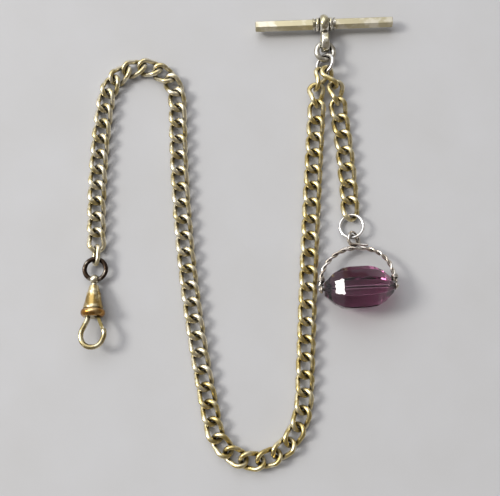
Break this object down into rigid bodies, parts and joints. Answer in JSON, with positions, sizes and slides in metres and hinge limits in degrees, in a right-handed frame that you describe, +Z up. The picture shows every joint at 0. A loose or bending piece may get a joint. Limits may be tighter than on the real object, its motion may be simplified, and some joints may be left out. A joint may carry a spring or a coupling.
{
  "type": "pocket watch chain",
  "caption": "Pocket watch chain of curb links with a T-bar, rings, a swivel clip with a sprung gate, and a fob chain carrying a faceted glass stone in a twisted wire bail.",
  "frame": {"origin": "centre of the footprint of the laid-out chain, on the surface it lies on", "axes": "+Y towards the T-bar along the runs of chain, +X towards the stone, +Z up from the surface"},
  "size_m": [0.0838, 0.1228, 0.0108],
  "materials": {
    "bar_nickel": "nickel silver, polished, lightly tarnished",
    "mount_nickel": "nickel silver, worn",
    "connector_silver": "silvery, dull",
    "ring_silver": "bright silver",
    "chain_gilt": "gilt worn on the high points, dark between the links",
    "chain_worn": "gilt worn pale",
    "dark_silver": "oxidised silver",
    "clip_brass": "turned brass, worn",
    "hook_brass": "bent brass wire, worn",
    "spring_steel": "spring steel wire",
    "bail_silver": "silver wire with dark oxide in the twists",
    "stone_glass": "plum coloured faceted glass, polished"
  },
  "bodies": {
    "t_bar": {"t_bar": "bar_nickel", "bar_collar_left": "mount_nickel", "bar_collar_right": "mount_nickel"},
    "shackle": {"bar_shackle": "mount_nickel"},
    "connector_ring": {"connector_ring": "connector_silver"},
    "jump_ring": {"jump_ring": "ring_silver"},
    "chain_links_01": {"chain_links_01": "chain_gilt"},
    "chain_links_02": {"chain_links_02": "chain_gilt"},
    "chain_links_03": {"chain_links_03": "chain_gilt"},
    "chain_links_04": {"chain_links_04": "chain_gilt"},
    "chain_links_05": {"chain_links_05": "chain_gilt"},
    "chain_links_06": {"chain_links_06": "chain_gilt"},
    "chain_links_07": {"chain_links_07": "chain_gilt"},
    "chain_links_08": {"chain_links_08": "chain_gilt"},
    "chain_links_09": {"chain_links_09": "chain_gilt"},
    "chain_links_10": {"chain_links_10": "chain_gilt"},
    "chain_links_11": {"chain_links_11": "chain_gilt"},
    "chain_links_12": {"chain_links_12": "chain_gilt"},
    "chain_links_13": {"chain_links_13": "chain_gilt"},
    "chain_links_14": {"chain_links_14": "chain_gilt"},
    "chain_links_15": {"chain_links_15": "chain_worn"},
    "chain_links_16": {"chain_links_16": "chain_worn"},
    "chain_links_17": {"chain_links_17": "chain_worn"},
    "chain_links_18": {"chain_links_18": "chain_worn"},
    "chain_links_19": {"chain_links_19": "chain_worn"},
    "chain_links_20": {"chain_links_20": "chain_worn"},
    "chain_links_21": {"chain_links_21": "chain_worn"},
    "chain_links_22": {"chain_links_22": "chain_worn"},
    "chain_links_23": {"chain_links_23": "chain_worn"},
    "chain_links_24": {"chain_links_24": "chain_worn"},
    "chain_links_25": {"chain_links_25": "chain_worn"},
    "chain_links_26": {"chain_links_26": "chain_worn"},
    "chain_links_27": {"chain_links_27": "chain_worn"},
    "chain_links_28": {"chain_links_28": "chain_worn"},
    "chain_links_29": {"chain_links_29": "chain_worn"},
    "chain_links_30": {"chain_links_30": "chain_worn"},
    "chain_links_31": {"chain_links_31": "chain_worn"},
    "chain_links_32": {"chain_links_32": "chain_worn"},
    "chain_end_link": {"chain_end_link": "chain_worn"},
    "swivel_ring": {"swivel_ring": "dark_silver"},
    "swivel_post": {"swivel_post": "clip_brass"},
    "clip": {"clip_body": "clip_brass", "clip_collar": "clip_brass", "clip_hook": "hook_brass", "gate_pin": "hook_brass", "gate_spring": "spring_steel"},
    "clip_gate": {"clip_gate": "hook_brass"},
    "fob_link_top": {"fob_link_top": "chain_gilt"},
    "fob_links_01": {"fob_links_01": "chain_gilt"},
    "fob_links_02": {"fob_links_02": "chain_gilt"},
    "fob_links_03": {"fob_links_03": "chain_gilt"},
    "fob_links_04": {"fob_links_04": "chain_gilt"},
    "fob_jump_ring": {"fob_jump_ring": "ring_silver"},
    "bail": {"bail_strand_a": "bail_silver", "bail_strand_b": "bail_silver", "bail_loop": "bail_silver", "bail_end_eyes": "bail_silver", "stone_axle": "bail_silver"},
    "stone": {"stone": "stone_glass"}
  },
  "joints": [
    {"name": "shackle_turn", "type": "hinge", "parent": "t_bar", "child": "shackle", "pos_m": [0.02288, 0.05875, 0.00271], "axis": [0.9993, 0.0384, 0], "continuous": true},
    {"name": "connector_ring_swing", "type": "hinge", "parent": "shackle", "child": "connector_ring", "pos_m": [0.02322, 0.05222, 0.00271], "axis": [0.9976, -0.0698, 0], "range_deg": [-20, 20]},
    {"name": "jump_ring_swing", "type": "hinge", "parent": "connector_ring", "child": "jump_ring", "pos_m": [0.02296, 0.04896, 0.00259], "axis": [0, 0, 1], "range_deg": [-12, 12]},
    {"name": "swivel_tilt", "type": "hinge", "parent": "swivel_ring", "child": "swivel_post", "pos_m": [-0.03861, -0.01245, 0.00203], "axis": [0.9998, 0.0174, 0], "range_deg": [-45, 45]},
    {"name": "clip_spin", "type": "hinge", "parent": "swivel_post", "child": "clip", "pos_m": [-0.03861, -0.01245, 0.00203], "axis": [0.0173, -0.9907, 0.1346], "continuous": true},
    {"name": "gate_hinge", "type": "hinge", "parent": "clip", "child": "clip_gate", "pos_m": [-0.0373, -0.02181, 0.0033], "axis": [-0.0024, 0.1346, 0.9909], "range_deg": [-25, 0], "stiffness_Nm_per_rad": 0.001, "springref_deg": 8.59},
    {"name": "stone_spin", "type": "hinge", "parent": "bail", "child": "stone", "pos_m": [0.03049, -0.01503, 0.00542], "axis": [0.9986, 0.0523, 0], "continuous": true},
    {"name": "bail_swing", "type": "hinge", "parent": "fob_jump_ring", "child": "bail", "pos_m": [0.02974, -0.0008, 0.00189], "axis": [0.9986, 0.0523, 0], "range_deg": [-15, 15]},
    {"name": "fob_ring_swing", "type": "hinge", "parent": "fob_links_04", "child": "fob_jump_ring", "pos_m": [0.02925, 0.00429, 0.00152], "axis": [0.9958, 0.092, 0], "range_deg": [-15, 15]},
    {"name": "swivel_ring_swing", "type": "hinge", "parent": "chain_end_link", "child": "swivel_ring", "pos_m": [-0.03836, -0.00771, 0.00203], "axis": [0.9986, -0.0523, 0], "range_deg": [-14, 14]},
    {"name": "end_link_swing", "type": "hinge", "parent": "chain_links_32", "child": "chain_end_link", "pos_m": [-0.03825, -0.00423, 0.00203], "axis": [0.9994, -0.0349, 0], "range_deg": [-12, 12]},
    {"name": "fob_top_swing", "type": "hinge", "parent": "jump_ring", "child": "fob_link_top", "pos_m": [0.023, 0.04488, 0.00403], "axis": [0.848, 0.5299, 0], "range_deg": [-6, 6]},
    {"name": "fob_swing_01", "type": "hinge", "parent": "fob_link_top", "child": "fob_links_01", "pos_m": [0.0257, 0.04109, 0.00302], "axis": [-0.9925, -0.1219, 0], "range_deg": [-10, 10]},
    {"name": "fob_swing_02", "type": "hinge", "parent": "fob_links_01", "child": "fob_links_02", "pos_m": [0.02692, 0.03201, 0.00157], "axis": [0, 0, 1], "range_deg": [0, 8]},
    {"name": "fob_swing_03", "type": "hinge", "parent": "fob_links_02", "child": "fob_links_03", "pos_m": [0.02803, 0.02282, 0.00157], "axis": [-0.9958, -0.092, 0], "range_deg": [-10, 10]},
    {"name": "fob_swing_04", "type": "hinge", "parent": "fob_links_03", "child": "fob_links_04", "pos_m": [0.02882, 0.0136, 0.00157], "axis": [0, 0, 1], "range_deg": [0, 8]},
    {"name": "chain_swing_01", "type": "hinge", "parent": "jump_ring", "child": "chain_links_01", "pos_m": [0.02216, 0.04493, 0.00256], "axis": [0.9511, -0.309, 0], "range_deg": [-6, 6]},
    {"name": "chain_swing_02", "type": "hinge", "parent": "chain_links_01", "child": "chain_links_02", "pos_m": [0.02071, 0.03592, 0.00216], "axis": [-0.9977, 0.068, 0], "range_deg": [-8, 8]},
    {"name": "chain_swing_03", "type": "hinge", "parent": "chain_links_02", "child": "chain_links_03", "pos_m": [0.02009, 0.02681, 0.00157], "axis": [0.9979, -0.0645, 0], "range_deg": [-14, 14]},
    {"name": "chain_swing_04", "type": "hinge", "parent": "chain_links_03", "child": "chain_links_04", "pos_m": [0.01951, 0.01767, 0.00157], "axis": [-0.9981, 0.0611, 0], "range_deg": [-14, 14]},
    {"name": "chain_swing_05", "type": "hinge", "parent": "chain_links_04", "child": "chain_links_05", "pos_m": [0.01895, 0.00852, 0.00157], "axis": [0.9983, -0.0576, 0], "range_deg": [-14, 14]},
    {"name": "chain_swing_06", "type": "hinge", "parent": "chain_links_05", "child": "chain_links_06", "pos_m": [0.01843, -0.00062, 0.00157], "axis": [-0.9985, 0.0541, 0], "range_deg": [-14, 14]},
    {"name": "chain_swing_07", "type": "hinge", "parent": "chain_links_06", "child": "chain_links_07", "pos_m": [0.01794, -0.00977, 0.00157], "axis": [0.9987, -0.0506, 0], "range_deg": [-14, 14]},
    {"name": "chain_swing_08", "type": "hinge", "parent": "chain_links_07", "child": "chain_links_08", "pos_m": [0.01748, -0.01892, 0.00157], "axis": [-0.9989, 0.0471, 0], "range_deg": [-14, 14]},
    {"name": "chain_swing_09", "type": "hinge", "parent": "chain_links_08", "child": "chain_links_09", "pos_m": [0.01706, -0.02807, 0.00157], "axis": [0.999, -0.0436, 0], "range_deg": [-14, 14]},
    {"name": "chain_swing_10", "type": "hinge", "parent": "chain_links_09", "child": "chain_links_10", "pos_m": [0.01666, -0.03722, 0.00157], "axis": [-0.9992, 0.0401, 0], "range_deg": [-12, 12]},
    {"name": "chain_swing_11", "type": "hinge", "parent": "chain_links_10", "child": "chain_links_11", "pos_m": [0.01617, -0.04621, 0.00157], "axis": [0, 0, 1], "range_deg": [0, 14]},
    {"name": "chain_swing_12", "type": "hinge", "parent": "chain_links_11", "child": "chain_links_12", "pos_m": [0.01269, -0.05442, 0.00157], "axis": [0.6115, -0.7912, 0], "range_deg": [-12, 12]},
    {"name": "chain_swing_13", "type": "hinge", "parent": "chain_links_12", "child": "chain_links_13", "pos_m": [0.0051, -0.05909, 0.00157], "axis": [0, 0, 1], "range_deg": [0, 14]},
    {"name": "chain_swing_14", "type": "hinge", "parent": "chain_links_13", "child": "chain_links_14", "pos_m": [-0.00338, -0.05677, 0.00157], "axis": [0.8121, 0.5835, 0], "range_deg": [-12, 12]},
    {"name": "chain_swing_15", "type": "hinge", "parent": "chain_links_14", "child": "chain_links_15", "pos_m": [-0.00728, -0.04896, 0.00157], "axis": [0, 0, 1], "range_deg": [-10, 10]},
    {"name": "chain_swing_16", "type": "hinge", "parent": "chain_links_15", "child": "chain_links_16", "pos_m": [-0.00913, -0.04025, 0.00157], "axis": [-0.9816, -0.1908, 0], "range_deg": [-14, 14]},
    {"name": "chain_swing_17", "type": "hinge", "parent": "chain_links_16", "child": "chain_links_17", "pos_m": [-0.01081, -0.03149, 0.00157], "axis": [0, 0, -1], "range_deg": [-10, 10]},
    {"name": "chain_swing_18", "type": "hinge", "parent": "chain_links_17", "child": "chain_links_18", "pos_m": [-0.01229, -0.02269, 0.00157], "axis": [0.9888, 0.1495, 0], "range_deg": [-14, 14]},
    {"name": "chain_swing_19", "type": "hinge", "parent": "chain_links_18", "child": "chain_links_19", "pos_m": [-0.0136, -0.01387, 0.00157], "axis": [0, 0, 1], "range_deg": [-10, 10]},
    {"name": "chain_swing_20", "type": "hinge", "parent": "chain_links_19", "child": "chain_links_20", "pos_m": [-0.01472, -0.00502, 0.00157], "axis": [-0.9942, -0.108, 0], "range_deg": [-14, 14]},
    {"name": "chain_swing_21", "type": "hinge", "parent": "chain_links_20", "child": "chain_links_21", "pos_m": [-0.01565, 0.00385, 0.00157], "axis": [0, 0, -1], "range_deg": [-10, 10]},
    {"name": "chain_swing_22", "type": "hinge", "parent": "chain_links_21", "child": "chain_links_22", "pos_m": [-0.01639, 0.01274, 0.00157], "axis": [0.9978, 0.0663, 0], "range_deg": [-14, 14]},
    {"name": "chain_swing_23", "type": "hinge", "parent": "chain_links_22", "child": "chain_links_23", "pos_m": [-0.01696, 0.02164, 0.00157], "axis": [0, 0, 1], "range_deg": [-10, 10]},
    {"name": "chain_swing_24", "type": "hinge", "parent": "chain_links_23", "child": "chain_links_24", "pos_m": [-0.01733, 0.03056, 0.00157], "axis": [-0.9997, -0.0244, 0], "range_deg": [-14, 14]},
    {"name": "chain_swing_25", "type": "hinge", "parent": "chain_links_24", "child": "chain_links_25", "pos_m": [-0.0176, 0.03948, 0.00157], "axis": [0, 0, 1], "range_deg": [-14, 0]},
    {"name": "chain_swing_26", "type": "hinge", "parent": "chain_links_25", "child": "chain_links_26", "pos_m": [-0.02316, 0.0461, 0.00157], "axis": [0.1236, 0.9923, 0], "range_deg": [-8, 8]},
    {"name": "chain_swing_27", "type": "hinge", "parent": "chain_links_26", "child": "chain_links_27", "pos_m": [-0.03179, 0.04595, 0.00157], "axis": [0, 0, 1], "range_deg": [-14, 0]},
    {"name": "chain_swing_28", "type": "hinge", "parent": "chain_links_27", "child": "chain_links_28", "pos_m": [-0.03694, 0.03914, 0.00157], "axis": [0.9934, -0.1149, 0], "range_deg": [-14, 14]},
    {"name": "chain_swing_29", "type": "hinge", "parent": "chain_links_28", "child": "chain_links_29", "pos_m": [-0.03788, 0.03053, 0.00157], "axis": [0, 0, -1], "range_deg": [-10, 10]},
    {"name": "chain_swing_30", "type": "hinge", "parent": "chain_links_29", "child": "chain_links_30", "pos_m": [-0.0385, 0.0219, 0.00157], "axis": [-0.9993, 0.0384, 0], "range_deg": [-14, 14]},
    {"name": "chain_swing_31", "type": "hinge", "parent": "chain_links_30", "child": "chain_links_31", "pos_m": [-0.03878, 0.01324, 0.00157], "axis": [0, 0, 1], "range_deg": [-10, 10]},
    {"name": "chain_swing_32", "type": "hinge", "parent": "chain_links_31", "child": "chain_links_32", "pos_m": [-0.03873, 0.00458, 0.00157], "axis": [0.9993, 0.0384, 0], "range_deg": [-14, 14]}
  ]
}
